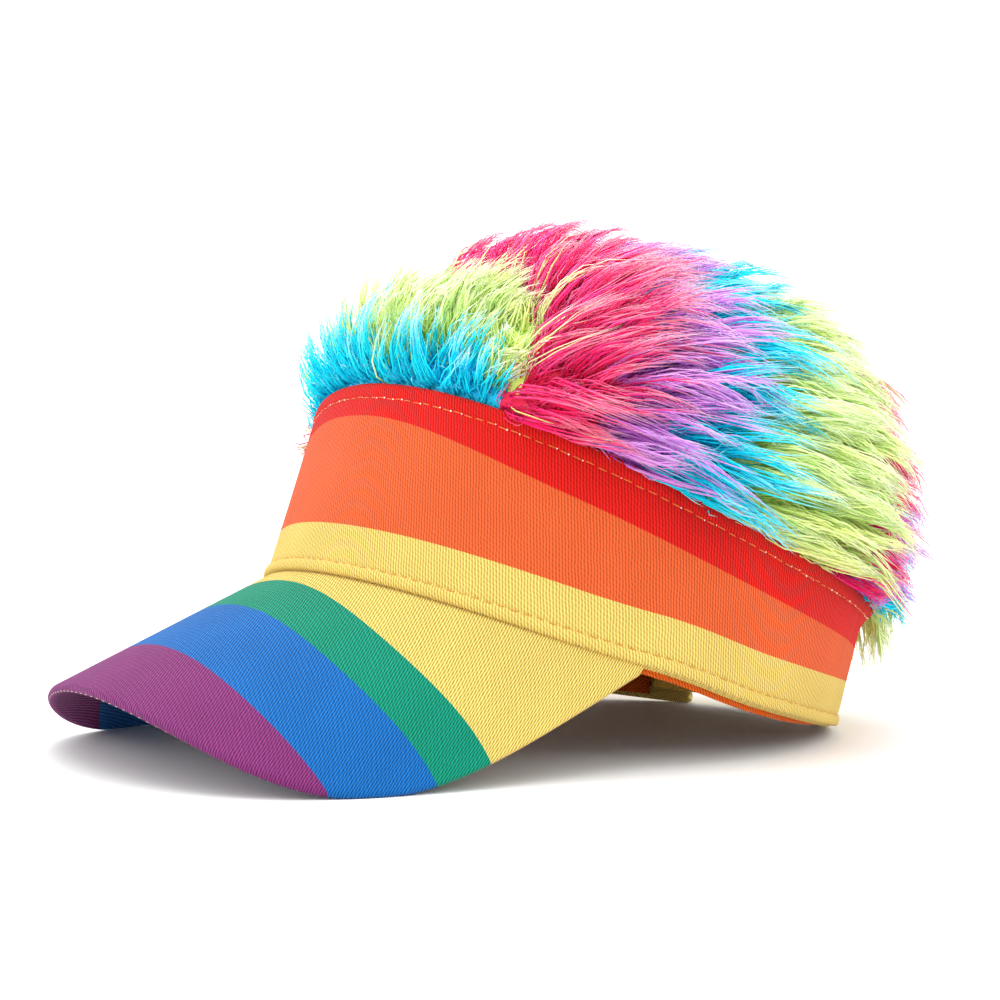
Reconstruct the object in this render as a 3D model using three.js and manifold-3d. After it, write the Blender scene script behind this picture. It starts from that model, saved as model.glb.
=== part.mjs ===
// A sun visor with a wig in its open crown: a twill band and a curved peak, a sweatband,
// a hook-and-loop strap at the nape, and a dome of long-pile fur on a cloth backing.
// It rests on a table as such a visor does, on the two sides of the peak and the two rear
// corners of the band, so its front is tilted up. Millimetres, +Z up, the peak towards -Y.
import * as THREE from "three";
import { mergeVertices } from "three/addons/utils/BufferGeometryUtils.js";
import Module from "manifold-3d";

const wasm = await Module();
wasm.setup();

// Head opening, the oval of the band's lower edge. Angles run from the front, 0, to the nape, 180.
const openingHalfWidth = 90;
const openingHalfLength = 94.5;
const frontSpread = 0.044; // share by which the oval is wider in front of its middle
const hemWave = 4.1; // how far the lower edge rises at front and nape, and dips at the sides

// Band: folded twill, taller in front, ending either side of the nape
const bandFrontHeight = 59;
const bandSideHeight = 45.8;
const bandRearHeight = 39.7;
const bandWall = 2.4;
const bandEndAngle = 158;
const sideFlare = 3.6; // half-width gained by the top edge
const frontLean = 3.4; // how far the front leans back at the top
const rearLean = 0.5; // how far the nape leans forward at the top
const lowerHemHeight = 5;
const lowerHemSwell = 0.9; // the rolled hem stands proud of the band
const topHemHeight = 8.5;
const rearHemFlare = 3; // the pile pushes the top hem outwards behind the ears

// Sweatband, inside the lower part of the band
const sweatbandHeight = 30;
const sweatbandWall = 1.2;
const sweatbandDrop = 1.5; // below the band's lower edge
const sweatbandRearRise = 1.5; // above that edge at its ends, clear of the table

// Peak: a stiff board in twill, bent to an arch that slopes down to the front
const peakThickness = 3;
const peakReach = 56; // ahead of the band, level with the opening
const peakHalfWidth = 86.6;
const peakArchDrop = 61.55; // how far its sides fall below its middle
const peakSlope = 0.85; // drop for each millimetre forward
const peakEndAngle = 71; // where its corners meet the band
const peakSquareness = 0.47; // 1 is an ellipse, and less is squarer
const peakEdgeRound = 0.9; // taken off its edge, above and below

// Strap: two tapes that overlap at the nape
const strapHeight = 25;
const strapRise = 4; // above the band's lower edge
const strapWall = 1.5;
const strapSeatAngle = 9; // length sewn behind each end of the band, as an angle
const strapOverlapAngle = 14; // each tape's reach past the middle

// Backing: the cloth dome that the pile is knitted into, sewn in behind the band's top edge
const backingWall = 2;
const backingTuck = 7; // depth sewn in behind the band
const crownRise = 65; // apex above the middle of the band's top
const crownBack = 26; // apex behind the middle
const crownFullness = 0.78; // 1 is an ellipse, and less is fuller

// Pile: dense underfur with locks standing out of it
const furSideDepth = 11; // depth of the underfur, outside the backing
const furRearGain = 5; // deeper towards the nape
const furRimDepth = 3; // just above the band
const furRimRearGain = 9;
const furRimRise = 1.2; // gap that the underfur keeps above the band's top edge
const furRuffle = 1.6; // height of the ripples in the underfur
const lockRows = 8;
const lockSpacing = 27;
const lockLength = 36;
const lockRadius = 6;
const lockSides = 4;
const lockSteps = 4;

const sewnGap = 0.4; // between pieces that are sewn together
const peakArchRadius = (peakHalfWidth ** 2 + peakArchDrop ** 2) / (2 * peakArchDrop);
const strapSeatStart = bandEndAngle - strapSeatAngle;
const sweatbandEndAngle = strapSeatStart - 1; // it stops just short of the strap
const restPress = 0.8; // how far the lowest edges are flattened by the table

const radians = THREE.MathUtils.degToRad;
const { lerp, smoothstep } = THREE.MathUtils;
const vec = (x, y, z) => new THREE.Vector3(x, y, z);
const shares = (count) => Array.from({ length: count + 1 }, (_, i) => i / count);

// A value that is front at 0 degrees, side at 90 and rear at 180.
function roundValue(front, side, rear, angle) {
  const ends = (front + rear) / 2;
  const a = radians(angle);
  return (ends + side) / 2 + ((front - rear) / 2) * Math.cos(a) + ((ends - side) / 2) * Math.cos(2 * a);
}

// Outward direction of the oval, level.
function outward(angle) {
  const a = radians(angle);
  return vec(Math.sin(a) / openingHalfWidth, -Math.cos(a) / openingHalfLength, 0).normalize();
}

function ovalPoint(halfWidth, halfLength, angle) {
  const a = radians(angle);
  return vec(halfWidth * Math.sin(a) * (1 + frontSpread * Math.cos(a)), -halfLength * Math.cos(a), 0);
}

// Top face of the peak above a point of the plan: an arch across, sloping down to the front.
function peakTop(x, y) {
  const across = Math.min(Math.abs(x), peakArchRadius * 0.999);
  const archDrop = peakArchRadius - Math.sqrt(peakArchRadius ** 2 - across ** 2);
  return hemWave + peakSlope * (y + openingHalfLength) - archDrop;
}

// Height of the band's lower edge: it sits on the peak, then runs into the free hem's wave.
function hemHeight(angle) {
  const turn = Math.abs(angle);
  const free = hemWave * Math.cos(2 * radians(turn));
  const corner = ovalPoint(openingHalfWidth, openingHalfLength, Math.min(turn, peakEndAngle));
  const seated = peakTop(corner.x, corner.y);
  return lerp(seated, free, smoothstep(turn, peakEndAngle, peakEndAngle + 25));
}

function lowerEdge(angle) {
  return ovalPoint(openingHalfWidth, openingHalfLength, angle).setZ(hemHeight(angle));
}

function upperEdge(angle) {
  const halfLength = openingHalfLength - (frontLean + rearLean) / 2;
  const edge = ovalPoint(openingHalfWidth + sideFlare, halfLength, angle);
  edge.y += (frontLean - rearLean) / 2;
  const height = roundValue(bandFrontHeight, bandSideHeight, bandRearHeight, angle);
  return edge.setZ(hemWave * Math.cos(2 * radians(angle)) + height);
}

// Point of the band, rise millimetres above its lower edge and depth inside its outer face.
function bandPoint(angle, rise, depth) {
  const low = lowerEdge(angle);
  const high = upperEdge(angle);
  const along = high.clone().sub(low).normalize();
  return low.addScaledVector(along, rise).addScaledVector(outward(angle), -depth);
}

const bandHeightAt = (angle) => upperEdge(angle).distanceTo(lowerEdge(angle));

// Closed solid between two faces of the same rows and columns of points. Its border is closed,
// apart from columns that run all the way round and a last row that meets in one pole.
function thickSheet(face, back, { around = false, pole = false } = {}) {
  const positions = [];
  const rows = face.length;
  const columns = face[0].length;
  const triangle = (...corners) => corners.forEach((p) => positions.push(p.x, p.y, p.z));
  const quad = (a, b, c, d) => {
    triangle(a, b, c);
    triangle(a, c, d);
  };
  const spans = around ? columns : columns - 1;
  for (let j = 0; j < spans; j++) {
    const k = (j + 1) % columns;
    for (let i = 0; i + 1 < rows; i++) {
      quad(face[i][j], face[i][k], face[i + 1][k], face[i + 1][j]);
      quad(back[i][k], back[i][j], back[i + 1][j], back[i + 1][k]);
    }
    quad(face[0][k], face[0][j], back[0][j], back[0][k]);
    if (!pole) quad(face[rows - 1][j], face[rows - 1][k], back[rows - 1][k], back[rows - 1][j]);
  }
  for (let i = 0; i + 1 < rows && !around; i++) {
    quad(face[i][0], face[i + 1][0], back[i + 1][0], back[i][0]);
    quad(face[i + 1][columns - 1], face[i][columns - 1], back[i][columns - 1], back[i + 1][columns - 1]);
  }
  return closedSolid(positions);
}

// Manifold solid of loose triangles, turned so that its faces point outwards.
function closedSolid(positions) {
  const loose = new THREE.BufferGeometry();
  loose.setAttribute("position", new THREE.Float32BufferAttribute(positions, 3));
  const merged = mergeVertices(loose, 1e-3);
  const index = Array.from(merged.index.array);
  const kept = [];
  for (let i = 0; i < index.length; i += 3) {
    const [a, b, c] = index.slice(i, i + 3);
    if (a !== b && b !== c && c !== a) kept.push(a, b, c);
  }
  const make = (triVerts) =>
    new wasm.Manifold(
      new wasm.Mesh({
        numProp: 3,
        vertProperties: merged.attributes.position.array,
        triVerts: new Uint32Array(triVerts),
      }),
    );
  const solid = make(kept);
  return solid.volume() > 0 ? solid : make(kept.reverse());
}

function geometryOf(solid) {
  const { vertProperties, triVerts, numProp } = solid.getMesh();
  const positions = [];
  for (const v of triVerts) positions.push(...vertProperties.slice(v * numProp, v * numProp + 3));
  const geometry = new THREE.BufferGeometry();
  geometry.setAttribute("position", new THREE.Float32BufferAttribute(positions, 3));
  geometry.computeVertexNormals();
  return geometry;
}

// Grid of points from a list of row values and a list of column values.
const gridOf = (rowValues, columnValues, point) =>
  rowValues.map((row) => columnValues.map((column) => point(row, column)));

function bandSolid() {
  const angles = shares(64).map((s) => lerp(-bandEndAngle, bandEndAngle, s));
  const profile = [
    { rise: 0, proud: -0.3 },
    { rise: lowerHemHeight * 0.5, proud: lowerHemSwell },
    { rise: lowerHemHeight, proud: 0 },
    { below: topHemHeight, proud: 0 },
    { below: topHemHeight * 0.4, proud: 0.2, flared: 0.8 },
    { below: 0, proud: 0, flared: 1 },
  ];
  const riseAt = (row, angle) => (row.rise === undefined ? bandHeightAt(angle) - row.below : row.rise);
  const flareAt = (row, angle) => (row.flared ?? 0) * rearHemFlare * smoothstep(Math.abs(angle), 118, 146);
  const outer = gridOf(profile, angles, (row, angle) =>
    bandPoint(angle, riseAt(row, angle), -row.proud - flareAt(row, angle)),
  );
  const inner = gridOf(profile, angles, (row, angle) =>
    bandPoint(angle, riseAt(row, angle), bandWall - flareAt(row, angle)),
  );
  return thickSheet(outer, inner);
}

function sweatbandSolid() {
  const angles = shares(48).map((s) => lerp(-sweatbandEndAngle, sweatbandEndAngle, s));
  const rises = [0, sweatbandHeight];
  const face = (depth) => (rise, angle) => {
    const low = lerp(-sweatbandDrop, sweatbandRearRise, smoothstep(Math.abs(angle), 100, sweatbandEndAngle));
    return bandPoint(angle, low + rise, depth);
  };
  const depth = bandWall + sewnGap;
  return thickSheet(gridOf(rises, angles, face(depth)), gridOf(rises, angles, face(depth + sweatbandWall)));
}

// Point of the peak's outline in plan. side runs from -1 to 1 across the peak.
function peakOutline(side) {
  const corner = ovalPoint(openingHalfWidth, openingHalfLength, peakEndAngle);
  const a = radians(90 * side);
  const forward = (openingHalfLength + corner.y + peakReach) * Math.cos(a) ** peakSquareness;
  return vec(peakHalfWidth * Math.sin(a), corner.y - forward, 0);
}

// Upward direction square to the peak.
function peakNormal(x) {
  const across = THREE.MathUtils.clamp(x, -peakHalfWidth, peakHalfWidth);
  const steep = across / Math.sqrt(peakArchRadius ** 2 - across ** 2);
  return vec(steep, -peakSlope, 1).normalize();
}

function peakSolid() {
  const sides = shares(44).map((s) => Math.sin(radians(lerp(-90, 90, s))));
  const rows = [
    { out: 0, round: 0 },
    { out: 0.25, round: 0 },
    { out: 0.5, round: 0 },
    { out: 0.75, round: 0 },
    { out: 1, round: 0, inset: peakEdgeRound },
    { out: 1, round: peakEdgeRound },
  ];
  const faceAt = (below) => (row, side) => {
    const inner = lowerEdge(peakEndAngle * side).addScaledVector(outward(peakEndAngle * side), sewnGap);
    const outline = peakOutline(side);
    const span = outline.clone().sub(inner).setZ(0);
    const reach = Math.max(span.length(), 1e-6);
    const share = row.out * Math.max(0, 1 - (row.inset ?? 0) / Math.max(reach, 4));
    const at = inner.setZ(0).addScaledVector(span, share);
    const rounding = below ? row.round : -row.round;
    return at.setZ(peakTop(at.x, at.y)).addScaledVector(peakNormal(at.x), rounding - (below ? peakThickness : 0));
  };
  return thickSheet(gridOf(rows, sides, faceAt(false)), gridOf(rows, sides, faceAt(true)));
}

// Tape at the nape, from inside one end of the band to its own free end. side is 1 or -1, and
// inset is how far the tape has moved inwards where the two tapes overlap.
function strapSolid(side, inset) {
  const start = strapSeatStart;
  const clear = 180 - strapOverlapAngle;
  const angles = shares(12).map((s) => lerp(start, 180 + strapOverlapAngle, s));
  const rises = [strapRise, strapRise + strapHeight];
  const face = (further) => (rise, angle) => {
    const depth = bandWall + sewnGap + inset * smoothstep(angle, bandEndAngle, clear);
    return bandPoint(side * angle, rise, depth + further);
  };
  return thickSheet(gridOf(rises, angles, face(0)), gridOf(rises, angles, face(strapWall)));
}

// Point of the crown's outer cloth face. climb runs from 0 at the band's top to 90 at the apex.
function crownPoint(angle, climb) {
  const rim = upperEdge(angle).addScaledVector(outward(angle), -bandWall - sewnGap);
  const spread = Math.cos(radians(climb)) ** crownFullness;
  const middle = roundValue(bandFrontHeight, bandSideHeight, bandRearHeight, 45);
  return vec(
    rim.x * spread,
    lerp(crownBack, 0, spread ** 2) + rim.y * spread,
    lerp(middle, rim.z, spread ** 2) + crownRise * Math.sin(radians(climb)),
  );
}

// Direction straight out of the crown.
function crownNormal(angle, climb) {
  const step = 0.5;
  const high = Math.min(climb, 90 - 2 * step);
  const round = crownPoint(angle + step, high).sub(crownPoint(angle - step, high));
  const up = crownPoint(angle, high + step).sub(crownPoint(angle, Math.max(high - step, 0)));
  return round.cross(up).normalize();
}

// Climbs that put rows closer together near the band, where the crown is steep.
const climbRows = (count) => shares(count).map((s) => 90 * s ** 0.9);
const anglesRound = (count) => shares(count).slice(0, -1).map((s) => 360 * s);

function backingSolid() {
  const angles = anglesRound(44);
  const rows = [-1, ...climbRows(8)];
  const point = (depth) => (climb, angle) => {
    if (climb === 90) return crownPoint(0, 90).add(vec(0, 0, -depth));
    if (climb >= 0) return crownPoint(angle, climb).addScaledVector(crownNormal(angle, climb), -depth);
    const sewn = bandHeightAt(angle) - backingTuck;
    return bandPoint(angle, sewn, bandWall + sewnGap + depth);
  };
  return thickSheet(gridOf(rows, angles, point(0)), gridOf(rows, angles, point(backingWall)), {
    around: true,
    pole: true,
  });
}

// Depth of the underfur over the backing.
function furDepth(angle, climb) {
  const rear = (1 - Math.cos(radians(angle))) / 2;
  const atRim = furRimDepth + furRimRearGain * rear ** 2;
  const full = furSideDepth + furRearGain * (2 * rear - 1) * Math.cos(radians(climb));
  const ripple = furRuffle * Math.cos(radians(angle * 11)) * Math.sin(radians(climb * 6));
  return lerp(atRim, full, smoothstep(climb, 0, 40)) + ripple;
}

function underfurSolid() {
  const angles = anglesRound(40);
  const rows = climbRows(8);
  const point = (depthAt) => (climb, angle) => {
    const depth = depthAt(angle, climb);
    if (climb === 90) return crownPoint(0, 90).add(vec(0, 0, depth));
    const at = crownPoint(angle, climb).addScaledVector(crownNormal(angle, climb), depth);
    at.z += furRimRise * (1 - smoothstep(climb, 0, 20));
    return at;
  };
  const face = gridOf(rows, angles, point(furDepth));
  const back = gridOf(rows, angles, point(() => sewnGap));
  return thickSheet(face, back, { around: true, pole: true });
}

// 0 where the pile stands up, ahead of the parting, and 1 where it lies down behind it.
function lyingShare(angle, climb) {
  const at = crownPoint(angle, climb);
  return smoothstep(at.y + 0.7 * Math.abs(at.x), -45, 15);
}

// Way the pile is combed at a point of the crown: up in front, then backwards, and down at the nape.
function combDirection(angle, climb) {
  const at = crownPoint(angle, climb);
  const normal = crownNormal(angle, climb);
  const nape = smoothstep(at.y, openingHalfLength * 0.4, openingHalfLength * 0.95);
  const standing = vec(at.x * 0.004, 0.4, 1);
  const lying = vec(at.x * 0.002, 1, 0.35 - 1.3 * nape);
  const wish = standing.lerp(lying, lyingShare(angle, climb));
  return wish.addScaledVector(normal, -wish.dot(normal)).normalize();
}

// Tapered lock that rises out of the underfur and bends over along the comb.
function lockSolid(angle, climb, size) {
  const normal = crownNormal(angle, climb);
  const comb = combDirection(angle, climb);
  const across = new THREE.Vector3().crossVectors(comb, normal).normalize();
  const at = crownPoint(angle, climb).addScaledVector(normal, furDepth(angle, climb) * 0.45);
  const rings = [];
  const lying = lyingShare(angle, climb);
  const length = lockLength * size * lerp(0.75, 1, lying);
  for (const s of shares(lockSteps)) {
    const lean = radians(lerp(lerp(65, 45, lying), lerp(5, -28, lying), s));
    const along = comb.clone().multiplyScalar(Math.cos(lean)).addScaledVector(normal, Math.sin(lean));
    const over = new THREE.Vector3().crossVectors(along, across).normalize();
    const radius = lockRadius * size * (1 - s) ** 0.8 + 0.05;
    rings.push(
      anglesRound(lockSides).map((turn) =>
        at
          .clone()
          .addScaledVector(across, 1.4 * radius * Math.cos(radians(turn)))
          .addScaledVector(over, 0.6 * radius * Math.sin(radians(turn))),
      ),
    );
    at.addScaledVector(along, length / lockSteps);
  }
  const centre = (ring) => ring.reduce((sum, p) => sum.add(p), vec(0, 0, 0)).divideScalar(ring.length);
  const positions = [];
  const triangle = (...corners) => corners.forEach((p) => positions.push(p.x, p.y, p.z));
  const root = centre(rings[0]);
  const tip = centre(rings.at(-1));
  for (let j = 0; j < lockSides; j++) {
    const k = (j + 1) % lockSides;
    triangle(root, rings[0][k], rings[0][j]);
    for (let i = 0; i + 2 < rings.length; i++) {
      triangle(rings[i][j], rings[i][k], rings[i + 1][k]);
      triangle(rings[i][j], rings[i + 1][k], rings[i + 1][j]);
    }
    triangle(rings.at(-2)[j], rings.at(-2)[k], tip);
  }
  return closedSolid(positions);
}

function furSolid() {
  let fur = underfurSolid();
  for (let row = 0; row < lockRows; row++) {
    const climb = 8 + (78 * row) / (lockRows - 1);
    const girth = (openingHalfWidth + openingHalfLength) * Math.PI * Math.cos(radians(climb)) ** crownFullness;
    const count = Math.max(3, Math.round(girth / lockSpacing));
    for (let j = 0; j < count; j++) {
      const angle = (360 * (j + (row % 2) / 2)) / count;
      const place = (Math.abs(angle - 180) * count) / 360;
      const size = 0.85 + 0.2 * Math.sin(radians(137.5 * (place + 5 * row)));
      fur = fur.add(lockSolid(angle, climb, size));
    }
  }
  return fur;
}

// Tilt at which the peak's sides and the band's rear corners stand on one level, and the lift
// that brings that level to the table.
function restingPose() {
  const peakFeet = shares(60).map((s) => {
    const at = peakOutline(2 * s - 1);
    const depth = peakThickness - peakEdgeRound;
    return at.setZ(peakTop(at.x, at.y)).addScaledVector(peakNormal(at.x), -depth);
  });
  const rearFoot = lowerEdge(bandEndAngle);
  const heightOf = (p, tilt) => p.z * Math.cos(tilt) - p.y * Math.sin(tilt);
  const lowest = (points, tilt) => Math.min(...points.map((p) => heightOf(p, tilt)));
  let flat = 0;
  let steep = radians(45);
  for (let i = 0; i < 40; i++) {
    const tilt = (flat + steep) / 2;
    if (lowest(peakFeet, tilt) < heightOf(rearFoot, tilt)) flat = tilt;
    else steep = tilt;
  }
  return { tilt: flat, lift: -heightOf(rearFoot, flat) - restPress };
}

// The solid with what would lie below the table taken off, as cloth is flattened where it rests.
function pressedFlat(solid) {
  return solid.trimByPlane([0, -Math.sin(rest.tilt), Math.cos(rest.tilt)], -rest.lift);
}

const rest = restingPose();
const visor = new THREE.Group();

function addPiece(name, solid, color, roughness) {
  const mesh = new THREE.Mesh(geometryOf(solid), new THREE.MeshStandardMaterial({ color, roughness }));
  mesh.name = name;
  visor.add(mesh);
}

addPiece("band", pressedFlat(bandSolid()), 0xf26a35, 0.85);
addPiece("sweatband", sweatbandSolid(), 0xf07a2c, 0.9);
addPiece("peak", pressedFlat(peakSolid()), 0x2f78d0, 0.85);
addPiece("strap_loop", strapSolid(1, strapWall + sewnGap), 0xf1c94a, 0.95);
addPiece("strap_hook", strapSolid(-1, 0), 0xf1c94a, 0.9);
addPiece("crown_backing", backingSolid(), 0xd9d4c8, 0.95);
addPiece("fur", furSolid(), 0xf0407a, 0.7);

visor.rotation.x = -rest.tilt;
visor.position.z = rest.lift;

// The part's frame has its origin under the middle of the object, on the table.
const part = new THREE.Group();
part.add(visor);
part.updateMatrixWorld(true);
const middle = new THREE.Box3().setFromObject(part, true).getCenter(vec(0, 0, 0));
visor.position.x -= middle.x;
visor.position.y -= middle.y;

export default part;
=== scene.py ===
"""A sun visor with a wig in its open crown, resting on a white table.

Shapes are worked out in millimetres in the visor's own frame, with the head opening level, the
peak towards -Y and the wearer's left towards +X, and are then tilted as the visor rests.
"""
import math

import bpy
import numpy as np
from mathutils import Matrix, Vector


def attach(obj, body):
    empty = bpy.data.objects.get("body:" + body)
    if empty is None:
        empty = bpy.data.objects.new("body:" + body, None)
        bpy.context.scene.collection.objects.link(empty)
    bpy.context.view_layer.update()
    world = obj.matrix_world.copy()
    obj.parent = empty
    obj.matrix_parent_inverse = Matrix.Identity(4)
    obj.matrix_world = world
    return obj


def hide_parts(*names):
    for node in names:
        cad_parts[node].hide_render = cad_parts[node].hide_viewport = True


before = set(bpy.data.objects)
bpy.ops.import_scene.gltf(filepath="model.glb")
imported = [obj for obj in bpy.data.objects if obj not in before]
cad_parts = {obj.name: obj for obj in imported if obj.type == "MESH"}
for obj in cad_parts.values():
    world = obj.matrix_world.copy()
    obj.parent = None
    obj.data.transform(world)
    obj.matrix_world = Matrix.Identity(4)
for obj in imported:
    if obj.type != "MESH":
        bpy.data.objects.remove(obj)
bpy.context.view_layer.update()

rng = np.random.default_rng(11)

# The camera stands where the photographer's stood: about 56 cm away, in front and to the
# wearer's left, level, and with a lens of about 63 mm on a 36 mm wide frame.
CAMERA_AZIMUTH = math.radians(56.16)
CAMERA_DISTANCE = 0.560
CAMERA_RIGHT = -0.01624
CAMERA_HEIGHT = 0.0731
PHOTO_FOCAL_PIXELS = 1752.5
PHOTO_WIDTH_PIXELS = 1000
REST_SHIFT = 16.84  # mm, from the middle of the head opening to the middle of the whole part

to_right = Vector((math.cos(CAMERA_AZIMUTH), math.sin(CAMERA_AZIMUTH), 0))
to_camera = Vector((math.sin(CAMERA_AZIMUTH), -math.cos(CAMERA_AZIMUTH), 0))
lens = bpy.data.cameras.new("camera")
lens.sensor_width = 36
lens.lens = lens.sensor_width * PHOTO_FOCAL_PIXELS / PHOTO_WIDTH_PIXELS
camera = bpy.data.objects.new("camera", lens)
turn = Matrix((to_right, Vector((0, 0, 1)), to_camera)).transposed()
place = to_right * CAMERA_RIGHT + to_camera * CAMERA_DISTANCE
place += Vector((0, REST_SHIFT / 1000, CAMERA_HEIGHT))
camera.matrix_world = Matrix.Translation(place) @ turn.to_4x4()
bpy.context.collection.objects.link(camera)
bpy.context.scene.camera = camera

# The band: printed cotton twill, folded to about 2.4 mm, taller in front, with a rolled hem
# below and a folded, stitched hem above. It goes round the head and stops at the nape.
HALF_WIDTH = 90.0
HALF_LENGTH = 94.5
FRONT_SPREAD = 0.044
HEM_WAVE = 4.1
BAND_HEIGHTS = (59.0, 45.8, 39.7)  # front, side, nape
BAND_WALL = 2.4
BAND_END = 158.0  # degrees from the front
SIDE_FLARE = 3.6
FRONT_LEAN = 3.4
REAR_LEAN = 0.5
REAR_HEM_FLARE = 3.0
FLARE_TURNS = (118, 146)  # degrees from the front, where the flare begins and is full
HEM_ROLL = (1.0, 2.3, 1.95)  # how proud, its middle above the lower edge, half its height
HEM_UNDERCUT = 1.7  # under the roll, where a shadow line shows
LOWER_SEAM = 4.2  # stitch line above the lower edge
TOP_SEAM = 4.7  # stitch line below the top edge
SEAM_SINK = 0.3
# Each crease by its degrees from the front, its half width in degrees, and how proud it is.
CREASES = ((124, 2.6, -0.4), (131, 2.0, -0.5), (137, 1.6, 0.35), (142, 2.4, -0.6))
YELLOW_STRIPE = 15.0
RED_STRIPE = (10.4, 4.6)  # in front, and how much it widens to the sides
PEAK_HALF_WIDTH = 86.6
ARCH_DROP = 61.55
ARCH_RADIUS = (PEAK_HALF_WIDTH ** 2 + ARCH_DROP ** 2) / (2 * ARCH_DROP)
PEAK_SLOPE = 0.85
PEAK_END = 71.0
REST_TILT = math.radians(16.572)
REST_LIFT = 21.364
RED = "#CD1C17"
ORANGE = "#D5592E"
YELLOW = "#D5B861"
RIB_PITCH = 0.85  # mm between the twill's ribs


def smooth(x, low, high):
    """0 below low, 1 above high, and an S-curve between them."""
    t = np.clip((x - low) / (high - low), 0, 1)
    return t * t * (3 - 2 * t)


def unit(vectors):
    """Vectors at length one."""
    return vectors / np.maximum(np.linalg.norm(vectors, axis=-1, keepdims=True), 1e-9)


def round_value(front, side, rear, angle):
    """A value that is front at 0 degrees, side at 90 and rear at 180, on two cosines."""
    a = np.radians(angle)
    ends = (front + rear) / 2
    return (ends + side) / 2 + (front - rear) / 2 * np.cos(a) + (ends - side) / 2 * np.cos(2 * a)


def oval(half_width, half_length, angle):
    """Level oval, an ellipse made wider in front of its middle."""
    a = np.radians(angle)
    x = half_width * np.sin(a) * (1 + FRONT_SPREAD * np.cos(a))
    return np.stack([x, -half_length * np.cos(a), 0 * a], -1)


def outward(angle):
    """Level direction out of the head opening, square to its ellipse."""
    a = np.radians(angle)
    return unit(np.stack([np.sin(a) / HALF_WIDTH, -np.cos(a) / HALF_LENGTH, 0 * a], -1))


def peak_top(x, y):
    """Height of the peak: an arch of one radius across, on a straight slope down to the front."""
    across = np.minimum(np.abs(x), ARCH_RADIUS * 0.999)
    drop = ARCH_RADIUS - np.sqrt(ARCH_RADIUS ** 2 - across ** 2)
    return HEM_WAVE + PEAK_SLOPE * (y + HALF_LENGTH) - drop


def lower_edge(angle):
    """Band's lower edge: on the peak in front, and then a free hem that rises at the nape."""
    edge = oval(HALF_WIDTH, HALF_LENGTH, angle)
    turned = np.abs(angle)
    corner = oval(HALF_WIDTH, HALF_LENGTH, np.minimum(turned, PEAK_END))
    seated = peak_top(corner[..., 0], corner[..., 1])
    free = HEM_WAVE * np.cos(2 * np.radians(turned))
    edge[..., 2] = seated + (free - seated) * smooth(turned, PEAK_END, PEAK_END + 25)
    return edge


def upper_edge(angle):
    """Band's top edge: wider than the lower one, leaning back in front."""
    edge = oval(HALF_WIDTH + SIDE_FLARE, HALF_LENGTH - (FRONT_LEAN + REAR_LEAN) / 2, angle)
    edge[..., 1] += (FRONT_LEAN - REAR_LEAN) / 2
    edge[..., 2] = HEM_WAVE * np.cos(2 * np.radians(angle)) + round_value(*BAND_HEIGHTS, angle)
    return edge


def band_height(angle):
    """Distance between the band's two edges."""
    return np.linalg.norm(upper_edge(angle) - lower_edge(angle), axis=-1)


def band_point(angle, rise, proud):
    """Point rise above the band's lower edge, up its slope, and proud of its outer face."""
    low = lower_edge(angle)
    along = unit(upper_edge(angle) - low)
    return low + along * rise[..., None] + outward(angle) * proud[..., None]


def at_rest(points):
    """Points in the row frame, in metres: tilted about X and lifted, and none below the table."""
    x, y, z = np.moveaxis(points, -1, 0)
    c, s = math.cos(REST_TILT), math.sin(REST_TILT)
    height = np.maximum(z * c - y * s + REST_LIFT, 0)
    return np.stack([x, y * c + z * s + REST_SHIFT, height], -1) / 1000


def swept(columns, count):
    """Faces of a closed profile of count points carried along columns, with both ends capped."""
    i, j = np.meshgrid(np.arange(columns - 1), np.arange(count), indexing="ij")
    k = (j + 1) % count
    walls = np.stack([i * count + j, (i + 1) * count + j, (i + 1) * count + k, i * count + k], -1)
    first = np.arange(count)[None]
    last = (columns - 1) * count + np.arange(count)[None, ::-1]
    return [walls.reshape(-1, 4), first, last]


def cloth_mesh(name, points, faces, cloth=None, stripe=None):
    """Smooth mesh of points in the visor's frame. faces is a list of arrays of corner numbers,
    cloth is a place on the flat cloth in millimetres, and stripe is a place in its print, for
    each point or for each face."""
    mesh = bpy.data.meshes.new(name)
    points = at_rest(points.reshape(-1, 3))
    corners = np.concatenate([part.ravel() for part in faces]).astype(np.int32)
    sizes = np.concatenate([np.full(len(part), part.shape[1]) for part in faces])
    mesh.vertices.add(len(points))
    mesh.vertices.foreach_set("co", points.astype(np.float32).ravel())
    mesh.loops.add(len(corners))
    mesh.loops.foreach_set("vertex_index", corners)
    mesh.polygons.add(len(sizes))
    mesh.polygons.foreach_set("loop_start", (np.cumsum(sizes) - sizes).astype(np.int32))
    mesh.polygons.foreach_set("use_smooth", np.ones(len(sizes), bool))
    mesh.update(calc_edges=True)
    if cloth is not None:
        layer = mesh.uv_layers.new(name="Cloth")
        flat = cloth.reshape(-1, 2)[corners]
        layer.uv.foreach_set("vector", flat.astype(np.float32).ravel())
    if stripe is not None:
        domain = "FACE" if stripe.size == len(sizes) else "POINT"
        values = mesh.attributes.new("stripe", "FLOAT", domain)
        values.data.foreach_set("value", stripe.astype(np.float32).ravel())
    return mesh


def add_piece(mesh, material, slot, *nodes):
    """Adds a mesh to the visor with its material, in place of the nodes that it stands for."""
    piece = bpy.data.objects.new(mesh.name, mesh)
    mesh.materials.append(material)
    bpy.context.collection.objects.link(piece)
    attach(piece, "root")
    if nodes:
        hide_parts(*nodes)


def linear(hex_colour):
    """Linear red, green, blue and alpha of an sRGB hex value."""
    parts = [int(hex_colour[i:i + 2], 16) / 255 for i in (1, 3, 5)]
    return [p / 12.92 if p <= 0.04045 else ((p + 0.055) / 1.055) ** 2.4 for p in parts] + [1.0]


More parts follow.
